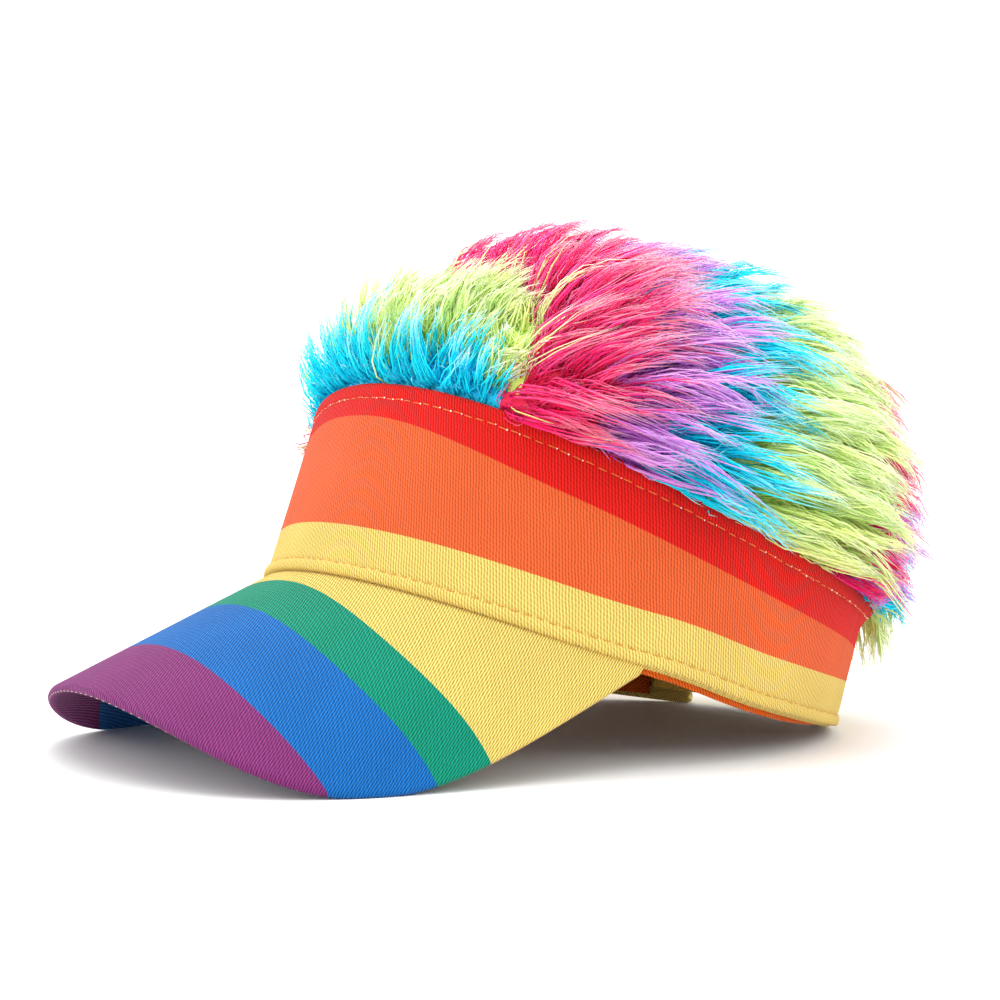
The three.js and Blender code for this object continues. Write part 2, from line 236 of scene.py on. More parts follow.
def node(tree, kind, inputs=(), **settings):
    """Adds a node, makes its settings, and gives its inputs, by name or number, values or links."""
    new = tree.nodes.new(kind)
    for name, value in settings.items():
        setattr(new, name, value)
    for key, value in dict(inputs).items():
        if isinstance(value, bpy.types.NodeSocket):
            tree.links.new(value, new.inputs[key])
        else:
            new.inputs[key].default_value = value
    return new


def new_material(name, roughness, ior, sheen=0.0, specular=0.5):
    """Empty Principled material, its tree and its shader."""
    material = bpy.data.materials.new(name)
    material.use_nodes = True
    shader = material.node_tree.nodes["Principled BSDF"]
    shader.inputs["Roughness"].default_value = roughness
    shader.inputs["IOR"].default_value = ior
    shader.inputs["Sheen Weight"].default_value = sheen
    shader.inputs["Specular IOR Level"].default_value = specular
    return material, material.node_tree, shader


def arithmetic(tree, operation, *values):
    """Result of a Math node on numbers or links."""
    return node(tree, "ShaderNodeMath", dict(enumerate(values)), operation=operation).outputs[0]


def bump_surface(tree, shader, height, strength, depth, **settings):
    """Bumps the shader's surface by height, of which 1 stands for depth in metres."""
    bump = node(
        tree, "ShaderNodeBump", {"Height": height, "Strength": strength, "Distance": depth},
        **settings)
    tree.links.new(bump.outputs[0], shader.inputs["Normal"])


def printed_twill(name, colours, rib_pitch, rib_angle, rib_shading=0.45):
    """Cotton twill: matt, with ribs of yarn that are broken where yarns cross, painted lighter on
    their crests as highlight and darker in the grooves between them as shade. It is printed in
    colours that change at stripe 1, 2 and so on."""
    material, tree, shader = new_material(name, roughness=0.9, ior=1.47, sheen=0.08, specular=0.06)
    flat = node(tree, "ShaderNodeUVMap", uv_map="Cloth")
    place = node(tree, "ShaderNodeSeparateXYZ", {0: flat.outputs[0]})
    turn = math.radians(rib_angle)
    wobble = node(tree, "ShaderNodeTexNoise", {"Vector": flat.outputs[0], "Scale": 0.22, "Detail": 2.0})

    def waves(pitch, angle):
        """Phase that grows by a full turn per pitch in the direction of angle, a little uneven."""
        per_mm = 2 * math.pi / pitch
        along_x = arithmetic(tree, "MULTIPLY", place.outputs[0], per_mm * math.cos(angle))
        along_both = arithmetic(
            tree, "MULTIPLY_ADD", place.outputs[1], per_mm * math.sin(angle), along_x)
        return arithmetic(tree, "MULTIPLY_ADD", wobble.outputs[0], 5.0, along_both)

    rib_phase = waves(rib_pitch, turn)
    rib = arithmetic(tree, "SINE", rib_phase)
    cross_phase = waves(rib_pitch * 1.7, turn + math.pi / 2)
    cross = arithmetic(tree, "SINE", arithmetic(tree, "MULTIPLY_ADD", rib_phase, 0.5, cross_phase))
    height = arithmetic(tree, "MULTIPLY_ADD", cross, 0.3, rib)
    # Painted highlight and shade: the colour is lighter on the ribs' crests and darker in their
    # grooves.
    painted_relief_shading = node(
        tree, "ShaderNodeMapRange",
        {"Value": height, "From Min": -1.0, "From Max": 1.2,
         "To Min": 1 - rib_shading, "To Max": 1 + rib_shading * 0.6})
    print_place = node(tree, "ShaderNodeAttribute", attribute_name="stripe")
    share = arithmetic(tree, "MULTIPLY", print_place.outputs["Fac"], 0.25)
    ramp = node(tree, "ShaderNodeValToRGB", {0: share})
    ramp.color_ramp.interpolation = "CONSTANT"
    while len(ramp.color_ramp.elements) < len(colours):
        ramp.color_ramp.elements.new(0.5)
    for k, colour in enumerate(colours):
        ramp.color_ramp.elements[k].position = k / 4
        ramp.color_ramp.elements[k].color = linear(colour)
    patch = node(tree, "ShaderNodeTexNoise", {"Vector": flat.outputs[0], "Scale": 0.05, "Detail": 3.0})
    uneven = node(
        tree, "ShaderNodeMapRange",
        {"Value": patch.outputs[0], "From Min": 0.3, "From Max": 0.7, "To Min": 0.95, "To Max": 1.05})
    # The painted rib highlight and shade, times a slow random unevenness of the print.
    strength = arithmetic(tree, "MULTIPLY", painted_relief_shading.outputs[0], uneven.outputs[0])
    dyed = node(
        tree, "ShaderNodeVectorMath", {0: ramp.outputs[0], "Scale": strength}, operation="SCALE")
    tree.links.new(dyed.outputs[0], shader.inputs["Base Color"])
    bump_surface(tree, shader, height, 0.8, 0.00012)
    return material


def band_proud(angle, rise, height):
    """How far the outer face stands proud: the rolled hem, undercut below, the two stitch
    grooves, the swell of the top hem, its flare behind the ears, slow unevenness, and creases
    near the ends."""
    proud, middle, half_height = HEM_ROLL
    roll = proud * np.sqrt(np.clip(1 - ((rise - middle) / half_height) ** 2, 0, 1))
    undercut = -HEM_UNDERCUT * smooth(-rise, -0.8, -0.3)
    lower_groove = -SEAM_SINK * np.exp(-((rise - LOWER_SEAM) / 0.4) ** 2)
    below = height - rise
    top_groove = -SEAM_SINK * np.exp(-((below - TOP_SEAM) / 0.5) ** 2)
    top_swell = 0.35 * smooth(TOP_SEAM - below, 0, 2) * smooth(below, -1, 3)
    flare = REAR_HEM_FLARE * smooth(np.abs(angle), *FLARE_TURNS) * smooth(8.5 - below, 0, 6)
    slow = 0.22 * np.sin(np.radians(angle * 7 + 40)) * np.sin(rise / height * 3)
    turned = np.abs(angle) - 2.5 * rise / height
    creases = sum(out * np.exp(-((turned - place) / width) ** 2) for place, width, out in CREASES)
    hems = roll + undercut + lower_groove + top_groove + top_swell
    return hems + flare + slow + creases * smooth(rise, 2, 9)


angles = np.linspace(-BAND_END, BAND_END, 380)
hem_rises = np.array([0.35, 0.7, 1.1, 1.6, 2.1, 2.6, 3.0, 3.4, 3.7, 3.95, 4.2, 4.45, 4.8, 5.3, 6.2])
top_offsets = [4, 2.4, 1.6, 1.0, 0.7, 0.4, 0.0, -0.4, -0.7, -1.0, -1.5, -2.1, -2.8, -3.5]
top_belows = TOP_SEAM + np.array(top_offsets)
fold = np.linspace(0, math.pi, 9)[1:]
heights = band_height(angles)[:, None]
middle_rises = hem_rises[-1] + (heights - top_belows[0] - hem_rises[-1]) * np.linspace(0, 1, 22)[1:-1]
outer_rises = np.concatenate([hem_rises + 0 * heights, middle_rises, heights - top_belows], 1)
outer_proud = band_proud(angles[:, None], outer_rises, heights)
lip = outer_proud[:, -1:]
fold_rises = heights - BAND_WALL / 2 * (1 - np.sin(fold))
fold_proud = lip - BAND_WALL / 2 * (1 - np.cos(fold))
inner_shares = np.linspace(1, 0, 14)
inner_rises = 1.3 + (heights - 2.6) * inner_shares
inner_flare = REAR_HEM_FLARE * smooth(np.abs(angles[:, None]), *FLARE_TURNS)
inner_proud = inner_flare * smooth(inner_rises - heights + 8.5, 0, 6) - BAND_WALL
# The underside is set back behind the roll.
under_rises = np.array([0.7, 0.25, 0.0, 0.0, 0.1]) + 0 * heights
under_proud = np.array([-2.35, -2.25, -2.1, -1.9, -1.75]) + 0 * heights
rises = np.concatenate([outer_rises, fold_rises, inner_rises, under_rises], 1)
proud = np.concatenate([outer_proud, fold_proud, inner_proud, under_proud], 1)
lengths = np.linalg.norm(np.diff(oval(HALF_WIDTH, HALF_LENGTH, angles), axis=0), axis=1)
round_place = np.concatenate([[0], np.cumsum(lengths)])
band_cloth = np.stack([round_place[:, None] + 0 * rises, rises], -1)
red_start = heights - RED_STRIPE[0] - RED_STRIPE[1] * smooth(np.abs(angles[:, None]), 5, 50)
band_stripe = np.where(
    rises < YELLOW_STRIPE,
    rises / YELLOW_STRIPE,
    np.minimum(1 + (rises - YELLOW_STRIPE) / (red_start - YELLOW_STRIPE), 3.4))
band_points = band_point(angles[:, None] + 0 * rises, rises, proud)
band_mesh = cloth_mesh("band_cloth", band_points, swept(*rises.shape), band_cloth, band_stripe)
band_twill = printed_twill("printed_cotton_twill_band", [YELLOW, ORANGE, RED], RIB_PITCH, 18)
add_piece(band_mesh, band_twill, "twill_band", "band")


# Stitches: polyester sewing thread in short lockstitches, golden along the rolled hem and
# orange along the top hem, where white specks of the bobbin thread show in the holes.
STITCH = 3.7
STITCH_SINK = 0.2
STITCH_ARCH = 0.42
THREAD = 0.18  # radius
HEM_THREAD = "#B88218"
TOP_THREAD = "#D4651A"
BOBBIN_THREAD = "#FFF6E6"


def tubes(centres, radii, across, over, sides):
    """Closed tubes with a flat start and a pointed end. For each of n rows of k centres there is
    a ring of points, in the plane of across and over, round every centre but the last, which is
    the point. Gives the points, of shape (n, (k - 1) * sides + 1, 3), and the faces."""
    turn = 2 * np.pi * np.arange(sides) / sides
    ring = across[:, :-1, None] * np.cos(turn)[:, None] + over[:, :-1, None] * np.sin(turn)[:, None]
    rings = centres[:, :-1, None] + ring * radii[:, :-1, None, None]
    n, k = centres.shape[:2]
    points = np.concatenate([rings.reshape(n, -1, 3), centres[:, -1:]], 1)
    size = (k - 1) * sides + 1
    tube, step, side = np.meshgrid(np.arange(n), np.arange(k - 2), np.arange(sides), indexing="ij")
    base = tube * size + step * sides
    following = (side + 1) % sides
    walls = np.stack([base + side, base + following, base + sides + following, base + sides + side], -1)
    tube, side = np.meshgrid(np.arange(n), np.arange(sides), indexing="ij")
    last = tube * size + (k - 2) * sides
    ends = np.stack([last + side, last + (side + 1) % sides, tube * size + size - 1], -1)
    starts = (np.arange(n) * size)[:, None] + np.arange(sides)[::-1]
    return points, [walls.reshape(-1, 4), ends.reshape(-1, 3), starts]


def thread_material(name, colour):
    """Spun polyester thread: a fine twist, slightly glossy."""
    material, tree, shader = new_material(name, roughness=0.5, ior=1.5, sheen=0.1)
    shader.inputs["Base Color"].default_value = linear(colour)
    place = node(tree, "ShaderNodeTexCoord")
    twist = node(
        tree, "ShaderNodeTexWave",
        {"Vector": place.outputs["Object"], "Scale": 900.0, "Distortion": 2.0},
        bands_direction="DIAGONAL")
    bump_surface(tree, shader, twist.outputs[1], 0.4, 0.00006)
    return material


def seam_stitches(name, rise_of, colour):
    """A row of stitches round the band, each a thread that arches out of the groove and back.
    Gives the place of each stitch's last hole."""
    count = int(round_place[-1] / STITCH)
    share = np.linspace(0.1, 0.9, 7)
    place_along = (np.arange(count)[:, None] + share) * round_place[-1] / count
    angle = np.interp(place_along, round_place, angles)
    rise = rise_of(angle) + 0.12 * np.sin(np.arange(count) * 2.3)[:, None]
    arch = np.sin(np.pi * (share - 0.1) / 0.8) ** 0.5
    height = band_height(angle)
    proud = band_proud(angle, rise, height) - STITCH_SINK + STITCH_ARCH * arch
    centres = band_point(angle, rise, proud)
    up = unit(upper_edge(angle) - lower_edge(angle))
    radii = THREAD * (0.45 + 0.55 * arch) + 0 * angle
    points, faces = tubes(centres, radii, up, outward(angle), 6)
    thread = thread_material(name + "_polyester", colour)
    add_piece(cloth_mesh(name, points, faces), thread, "twill_band")
    return centres[:, -1]


seam_stitches("hem_stitches", lambda angle: LOWER_SEAM + 0 * angle, HEM_THREAD)
holes = seam_stitches("top_stitches", lambda angle: band_height(angle) - TOP_SEAM, TOP_THREAD)
showing = holes[rng.random(len(holes)) < 0.55]
speck_angle = np.degrees(np.arctan2(showing[:, 0] / HALF_WIDTH, -showing[:, 1] / HALF_LENGTH))
speck_out = outward(speck_angle)[:, None]
speck_steps = np.array([-0.1, 0.1, 0.35, 0.5])[None, :, None]
speck_centres = showing[:, None] + speck_out * speck_steps
speck_centres += rng.normal(0, 0.12, (len(showing), 1, 3))
speck_side = unit(np.cross(speck_out, np.array([0.0, 0, 1])))
speck_up = np.cross(speck_side, speck_out)
speck_radii = np.array([0.3, 0.36, 0.28, 0.06])[None] * rng.uniform(0.6, 1.0, (len(showing), 1))
spread = np.ones_like(speck_centres)
speck_points, speck_faces = tubes(
    speck_centres, speck_radii, speck_side * spread, speck_up * spread, 6)
add_piece(
    cloth_mesh("bobbin_specks", speck_points, speck_faces),
    thread_material("white_bobbin_polyester", BOBBIN_THREAD), "twill_band")


# The sweatband: plain orange twill inside the lower part of the band, a little below its hem
# at the sides, where it shows beside the peak. It is sewn along the hem.
SWEATBAND_HEIGHT = 30.0
SWEATBAND_WALL = 1.2
SWEATBAND_DROP = 1.5
SWEATBAND_REAR_RISE = 1.5
SEWN_GAP = 0.4
STRAP_START = BAND_END - 9
SWEATBAND_END = STRAP_START - 1


def ribbon(angle, low, height, depth, wall, edge_steps=5, face_steps=12):
    """Closed profile of a tape at each angle, with half-round edges, depth inside the band's
    outer face: up its outer side, over, down its inner side and under."""
    half = wall / 2
    arc = np.linspace(0, np.pi, edge_steps + 2)[1:-1]
    straight = np.linspace(half, height - half, face_steps)
    rise = np.concatenate(
        [straight, height - half + half * np.sin(arc), straight[::-1], half - half * np.sin(arc)])
    inset = np.concatenate(
        [0 * straight, half - half * np.cos(arc), wall + 0 * straight, half + half * np.cos(arc)])
    angle = angle[:, None] + 0 * rise
    rises = low[:, None] + rise
    flat = np.stack([angle * HALF_WIDTH * math.pi / 180, rises], -1)
    return band_point(angle, rises, -depth[:, None] - inset), flat


sweat_angles = np.linspace(-SWEATBAND_END, SWEATBAND_END, 260)
sweat_turn = smooth(np.abs(sweat_angles), 100, SWEATBAND_END)
sweat_low = -SWEATBAND_DROP + (SWEATBAND_REAR_RISE + SWEATBAND_DROP) * sweat_turn
sweat_depth = BAND_WALL + SEWN_GAP + 0 * sweat_angles
sweat_points, sweat_cloth = ribbon(
    sweat_angles, sweat_low, SWEATBAND_HEIGHT, sweat_depth, SWEATBAND_WALL)
sweat_mesh = cloth_mesh(
    "sweatband_cloth", sweat_points, swept(*sweat_points.shape[:2]), sweat_cloth,
    np.zeros(sweat_points.shape[:2]))
sweat_twill = printed_twill("orange_cotton_twill", ["#CF5916"], RIB_PITCH, 35)
add_piece(sweat_mesh, sweat_twill, "twill_sweatband", "sweatband")


# The peak: twill over a stiff board, arched across and sloping down, with a soft rounded rim.
# The print goes on in curved stripes, above and below, and a stitch shows along the rim.
PEAK_THICKNESS = 3.0
PEAK_REACH = 56.0
PEAK_SQUARENESS = 0.47
PEAK_TUCK = 1.2  # its inner edge lies under the band's hem
STRIPE_SPAN = 75.6
STRIPE_SCALE = 56.7
# Each border by how far ahead of the band it is, and its bend's square and fourth-power parts.
PEAK_STRIPES = ((4.5, 0.109, 0.196), (16.8, 0.137, 0.175), (36.6, 0.184, 0.132))
PEAK_RIB_PITCH = 1.0
PEAK_RIB_ANGLE = 39
# How strongly the peak's ribs are painted lighter on their crests and darker in their grooves.
PEAK_RIB_SHADING = 0.6
TICK_RADIUS = 0.2
TICK_SETBACK = 0.25
TICK_DEPTH = 0.66 * PEAK_THICKNESS
GREEN = "#0B8267"
BLUE = "#1461A8"
PURPLE = "#782E69"


def peak_normal(x):
    """Upward direction square to the peak."""
    across = np.clip(x, -PEAK_HALF_WIDTH, PEAK_HALF_WIDTH)
    steep = across / np.sqrt(ARCH_RADIUS ** 2 - across ** 2)
    return unit(np.stack([steep, -PEAK_SLOPE + 0 * x, 1 + 0 * x], -1))


def peak_outline(side):
    """Peak's rim in plan for side from -1 to 1: a squared-off half ellipse ahead of the band."""
    a = np.radians(90 * side)
    corner = -HALF_LENGTH * math.cos(math.radians(PEAK_END))
    forward = (HALF_LENGTH + corner + PEAK_REACH) * np.maximum(np.cos(a), 0) ** PEAK_SQUARENESS
    return np.stack([PEAK_HALF_WIDTH * np.sin(a), corner - forward, 0 * a], -1)


def on_peak(plan, depth):
    """Point of the peak under a place of its plan, depth below its top face."""
    top = plan.copy()
    top[..., 2] = peak_top(plan[..., 0], plan[..., 1])
    return top - peak_normal(plan[..., 0]) * depth[..., None]


sides = np.sin(np.radians(np.linspace(-89.5, 89.5, 300)))
inner = oval(HALF_WIDTH, HALF_LENGTH, PEAK_END * sides) - PEAK_TUCK * outward(PEAK_END * sides)
inner[..., 2] = 0
rim = peak_outline(sides)
span = rim - inner
reach = np.linalg.norm(span, axis=-1, keepdims=True)
ahead = span / np.maximum(reach, 1e-6)
rim_radius = np.minimum(PEAK_THICKNESS / 2, reach * 0.4)
face_shares = np.linspace(0, 1, 44) ** 0.9
face_places = (reach - rim_radius) * face_shares
rim_turns = np.linspace(0, np.pi, 13)[1:-1]
rim_places = reach - rim_radius + rim_radius * np.sin(rim_turns)
rim_depths = PEAK_THICKNESS / 2 * (1 + np.cos(rim_turns)) + 0 * reach
places = np.concatenate([face_places, rim_places, face_places[:, ::-1]], 1)
flat_face = 0 * face_places
depths = np.concatenate([flat_face + PEAK_THICKNESS, rim_depths, flat_face], 1)
peak_plan = inner[:, None] + ahead[:, None] * places[..., None]
peak_points = on_peak(peak_plan, depths)
forward = -(peak_plan[..., 1] + HALF_LENGTH)
wide = peak_plan[..., 0] / STRIPE_SPAN
first, second, third = (
    start - STRIPE_SCALE * (bend * wide ** 2 + more * wide ** 4) for start, bend, more in PEAK_STRIPES)
peak_stripe = np.where(
    forward < second,
    1 + (forward - first) / (second - first),
    2 + (forward - second) / (third - second))
unrolled = ARCH_RADIUS * np.arcsin(np.clip(peak_plan[..., 0] / ARCH_RADIUS, -1, 1))
peak_cloth = np.stack([unrolled, peak_plan[..., 1] * math.hypot(1, PEAK_SLOPE)], -1)
peak_mesh = cloth_mesh(
    "peak_cloth", peak_points, swept(*places.shape), peak_cloth, np.maximum(peak_stripe, 0))
peak_twill = printed_twill(
    "printed_cotton_twill_peak", [YELLOW, GREEN, BLUE, PURPLE], PEAK_RIB_PITCH, PEAK_RIB_ANGLE,
    PEAK_RIB_SHADING)
add_piece(peak_mesh, peak_twill, "twill_peak", "peak")

rim_line = peak_outline(np.sin(np.radians(np.linspace(-86, 86, 1500))))
rim_lengths = np.linalg.norm(np.diff(rim_line, axis=0), axis=1)
rim_place = np.concatenate([[0], np.cumsum(rim_lengths)])
tick_count = int(rim_place[-1] / STITCH)
tick_share = np.linspace(0.2, 0.75, 5)
tick_place = (np.arange(tick_count)[:, None] + tick_share) * rim_place[-1] / tick_count
tick_plan = np.stack([np.interp(tick_place, rim_place, rim_line[:, axis]) for axis in range(3)], -1)
tick_along = unit(np.gradient(tick_plan, axis=1))
tick_out = unit(np.cross(tick_along, np.array([0.0, 0, 1])))
tick_arch = np.sin(np.pi * (tick_share - 0.2) / 0.55) ** 0.5
tick_centres = on_peak(tick_plan - tick_out * TICK_SETBACK, TICK_DEPTH + 0 * tick_place)
tick_down = -peak_normal(tick_plan[..., 0])
tick_centres += (tick_out + 0.4 * tick_down) * (0.05 + 0.2 * tick_arch)[:, None]
tick_radii = TICK_RADIUS * (0.45 + 0.55 * tick_arch) + 0 * tick_place
tick_points, tick_faces = tubes(tick_centres, tick_radii, tick_out, tick_down, 6)
add_piece(
    cloth_mesh("rim_stitches", tick_points, tick_faces),
    thread_material("cream_rim_polyester", "#C8B895"), "twill_peak")


# The strap: a napped loop tape and a woven hook tape, one sewn inside each end of the band,
# pressed together where they overlap at the nape.
STRAP_HEIGHT = 25.0
STRAP_RISE = 4.0
STRAP_WALL = 1.5
STRAP_OVERLAP = 14.0


def tape_material(name, colour, grain):
    """Nylon tape: matt, with a nap of fine loops or hooks, grain to the millimetre, which is
    drawn coarse enough to show. Each loop is painted lighter at its middle as highlight and
    darker between the loops as shade."""
    material, tree, shader = new_material(name, roughness=0.75, ior=1.53, sheen=0.25)
    flat = node(tree, "ShaderNodeUVMap", uv_map="Cloth")
    nap = node(tree, "ShaderNodeTexVoronoi", {"Vector": flat.outputs[0], "Scale": grain})
    # Painted highlight and shade: lighter at each loop's middle and darker between the loops.
    painted_relief_shading = node(
        tree, "ShaderNodeMapRange",
        {"Value": nap.outputs[0], "From Max": 0.8, "To Min": 1.08, "To Max": 0.7})
    dyed = node(
        tree, "ShaderNodeVectorMath", {0: linear(colour)[:3], "Scale": painted_relief_shading.outputs[0]},
        operation="SCALE")
    tree.links.new(dyed.outputs[0], shader.inputs["Base Color"])
    bump_surface(tree, shader, nap.outputs[0], 0.6, 0.0003, invert=True)
    return material


def strap_tape(name, side, inset, material, slot, cad_node):
    """A tape from inside one end of the band to past the middle, moved in by inset there."""
    turned = np.linspace(STRAP_START, 180 + STRAP_OVERLAP, 60)
    depth = BAND_WALL + SEWN_GAP + inset * smooth(turned, BAND_END, 180 - STRAP_OVERLAP)
    points, flat = ribbon(side * turned, STRAP_RISE + 0 * turned, STRAP_HEIGHT, depth, STRAP_WALL)
    if side < 0:
        points, flat = points[::-1], flat[::-1]
    add_piece(cloth_mesh(name, points, swept(*points.shape[:2]), flat), material, slot, cad_node)


strap_tape(
    "loop_tape", 1, STRAP_WALL + SEWN_GAP, tape_material("napped_nylon_loop", "#F2B632", 1.1),
    "loop_tape", "strap_loop")
strap_tape("hook_tape", -1, 0.0, tape_material("nylon_hook", "#EFC24A", 1.6), "hook_tape", "strap_hook")


# The backing: a knitted cloth dome, sewn in behind the band's top hem. Its outside carries
# the pile, and its plain inside shows from below.
BACKING_WALL = 2.0
BACKING_TUCK = 7.0
CROWN_RISE = 65.0
CROWN_BACK = 26.0
CROWN_FULLNESS = 0.78


def crown_point(angle, climb):
    """Crown's cloth: the band's top edge drawn in and raised to an apex behind the middle."""
    edge = upper_edge(angle) - outward(angle) * (BAND_WALL + SEWN_GAP)
    c = np.cos(np.radians(climb)) ** CROWN_FULLNESS
    middle = round_value(*BAND_HEIGHTS, 45.0)
    x = edge[..., 0] * c
    y = CROWN_BACK * (1 - c ** 2) + edge[..., 1] * c
    z = middle * (1 - c ** 2) + edge[..., 2] * c ** 2 + CROWN_RISE * np.sin(np.radians(climb))
    return np.stack([x, y, z], -1)


def crown_normal(angle, climb):
    """Direction straight out of the crown, from its two tangents."""
    high = np.minimum(climb, 89.0)
    round_it = crown_point(angle + 0.5, high) - crown_point(angle - 0.5, high)
    up_it = crown_point(angle, high + 0.5) - crown_point(angle, np.maximum(high - 0.5, 0))
    return unit(np.cross(round_it, up_it))


def closed_dome(rows, lifts):
    """Points and faces of a dome from its rows, closed round, of which the first half climbs
    outside to a pole and the second half comes down inside from another, joined along the rim.
    The poles lie above the crown's apex by lifts."""
    count, columns = rows.shape[:2]
    half = count // 2
    apex = crown_point(np.array(0.0), np.array(90.0))
    points = np.concatenate([rows.reshape(-1, 3), apex + np.outer(lifts, [0, 0, 1])])
    i, j = np.meshgrid(np.arange(count), np.arange(columns), indexing="ij")
    k = (j + 1) % columns
    up = (i + 1) % count
    quads = np.stack([i * columns + j, i * columns + k, up * columns + k, up * columns + j], -1)
    walls = quads[np.arange(count) != half - 1].reshape(-1, 4)
    j, k = j[0], k[0]
    outer_pole = count * columns + 0 * j
    outer = np.stack([(half - 1) * columns + j, (half - 1) * columns + k, outer_pole], -1)
    inner = np.stack([half * columns + k, half * columns + j, outer_pole + 1], -1)
    return points, [walls, outer, inner]


turns = np.arange(0, 360, 3.0)
climbs = np.linspace(0, 87, 30)
turn_grid, climb_grid = np.meshgrid(turns, climbs)
outer_dome = crown_point(turn_grid, climb_grid)
inner_dome = outer_dome - crown_normal(turn_grid, climb_grid) * BACKING_WALL
tuck_rise = band_height(turns) - BACKING_TUCK
tuck_inset = BAND_WALL + SEWN_GAP + 0 * turns
sewn_outer = band_point(turns, tuck_rise, -tuck_inset)[None]
sewn_inner = band_point(turns, tuck_rise, -tuck_inset - BACKING_WALL)[None]
dome_rows = np.concatenate([sewn_outer, outer_dome, inner_dome[::-1], sewn_inner])
dome_points, dome_faces = closed_dome(dome_rows, (0.0, -BACKING_WALL))
dome_mesh = cloth_mesh("backing_cloth", dome_points, dome_faces, dome_points[:, :2])

# Warp knit: matt and slightly downy, with faint uneven rows of loops 1.6 mm apart, its colour
# painted lighter on the rows as highlight and darker between them as shade.
backing_knit, tree, shader = new_material(
    "warp_knit_polyester_backing", roughness=0.85, ior=1.5, sheen=0.2)
flat = node(tree, "ShaderNodeUVMap", uv_map="Cloth")
loops = node(
    tree, "ShaderNodeTexWave",
    {"Vector": flat.outputs[0], "Scale": 0.2, "Distortion": 3.0, "Detail": 2.0})
# The cloth's own colour, painted lighter on the rows of loops as highlight and darker between them as
# shade.
knit_colour_and_shade = node(tree, "ShaderNodeValToRGB", {0: loops.outputs[1]})
knit_colour_and_shade.color_ramp.elements[0].color = linear("#B9AE9C")
knit_colour_and_shade.color_ramp.elements[1].color = linear("#E9E3D6")
tree.links.new(knit_colour_and_shade.outputs[0], shader.inputs["Base Color"])
bump_surface(tree, shader, loops.outputs[1], 0.4, 0.0003)
add_piece(dome_mesh, backing_knit, "pile_backing", "crown_backing")


# The pile: long acrylic faux fur in two pieces of fabric that meet at a parting. The front one
# is cyan at the band and lime above. The main one is striped from the parting to the nape and
# combed back. Fibres gather in locks with loose tips, darker at the root and paler at the tip.
PILE_LENGTH = 44.0
TUFTS = 620
LOCKS = 2600
FIBRES = 29000  # each stands for many, so it is drawn thicker than a real one
FIBRE_RADIUS = 0.235
GUIDE_STEPS = 12
FIBRE_RINGS = 5
FIBRE_SIDES = 3
PARTING = (-59.0, 0.3, 109.0)  # y at the top, how far forward it runs per mm down, and the top
PARTING_TURN = 0.22  # how far back it runs per mm to the wearer's right
# Leans off the cloth in degrees, in front at the root and at the tip, each everywhere, added
# at the band and added away from the parting, and behind at the root, everywhere, added beside
# the parting and added at the band.
FRONT_LEANS = ((30.0, 34.0, 20.0), (2.0, 8.0, 20.0))
BACK_ROOT_LEAN = (34.0, 8.0, 2.0)
NAPE_TIP_LEAN = 10.0
CYAN_DEPTH = 9.0
STRIPE_LEAN = 0.3
STRIPE_ENDS = (-38.0, -24.0, -6.0, 42.0, 57.0, 71.0, 86.0)
STRIPE_DYES = (2, 3, 0, 1, 2, 3, 0, 1)  # 0 cyan, 1 lime, 2 pink, 3 purple
DYES = (
    # root, middle, tip, each at its two extremes of tone, spread wider than the dye's own to paint
    # highlights and the shade between locks
    (("#0098D8", "#08BEF0"), ("#00C0FA", "#10E4FF"), ("#10D2FF", "#70EEFF")),
    (("#98F060", "#DCFA60"), ("#B4FF78", "#FCFF84"), ("#DEFF98", "#FFFFC0")),
    (("#D41048", "#F02860"), ("#FA0C4A", "#FF2E68"), ("#FF2462", "#FF7CA8")),
    (("#9048BE", "#BC66CE"), ("#AC4ED4", "#DE74E8"), ("#C470EC", "#F8ACFA")),
)


def parting_line(points):
    """Where the parting runs beside points: further forward lower down, and further back on the
    wearer's right."""
    y, slope, top = PARTING
    aside = np.maximum(-points[..., 0] - 20, 0)
    return y - slope * np.maximum(top - points[..., 2], 0) + PARTING_TURN * aside


def above_band(points):
    """Height of each point above the band's top edge."""
    edge = upper_edge(np.degrees(np.arctan2(points[..., 0], -points[..., 1])))
    return points[..., 2] - edge[..., 2]


def dye_of(roots):
    """Number of the dye at each root: by height ahead of the parting, and behind it by a
    fore-and-aft place that leans with height, both with ragged borders."""
    x, y, z = np.moveaxis(roots, -1, 0)
    ragged = 2.2 * np.sin(x * 0.31 + z * 0.17) + 1.6 * np.sin(x * 0.13 - z * 0.37 + 1)
    front = np.where(above_band(roots) + ragged < CYAN_DEPTH, 0, 1)
    place = y + STRIPE_LEAN * (110 - z) + ragged
    main = np.array(STRIPE_DYES)[np.searchsorted(STRIPE_ENDS, place)]
    return np.where(y < parting_line(roots), front, main)


def spread_roots(count):
    """Roots spread evenly over the crown's cloth, by area, with their normals."""
    angle = rng.uniform(0, 360, count * 3)
    climb = rng.uniform(0, 90, count * 3)
    step = 0.5
    round_it = crown_point(angle + step, climb) - crown_point(angle - step, climb)
    up_it = crown_point(angle, np.minimum(climb + step, 90)) - crown_point(angle, climb - step)
    area = np.linalg.norm(np.cross(round_it, up_it), axis=-1)
    kept = rng.choice(len(angle), count, replace=False, p=area / area.sum())
    return crown_point(angle[kept], climb[kept]), crown_normal(angle[kept], climb[kept])


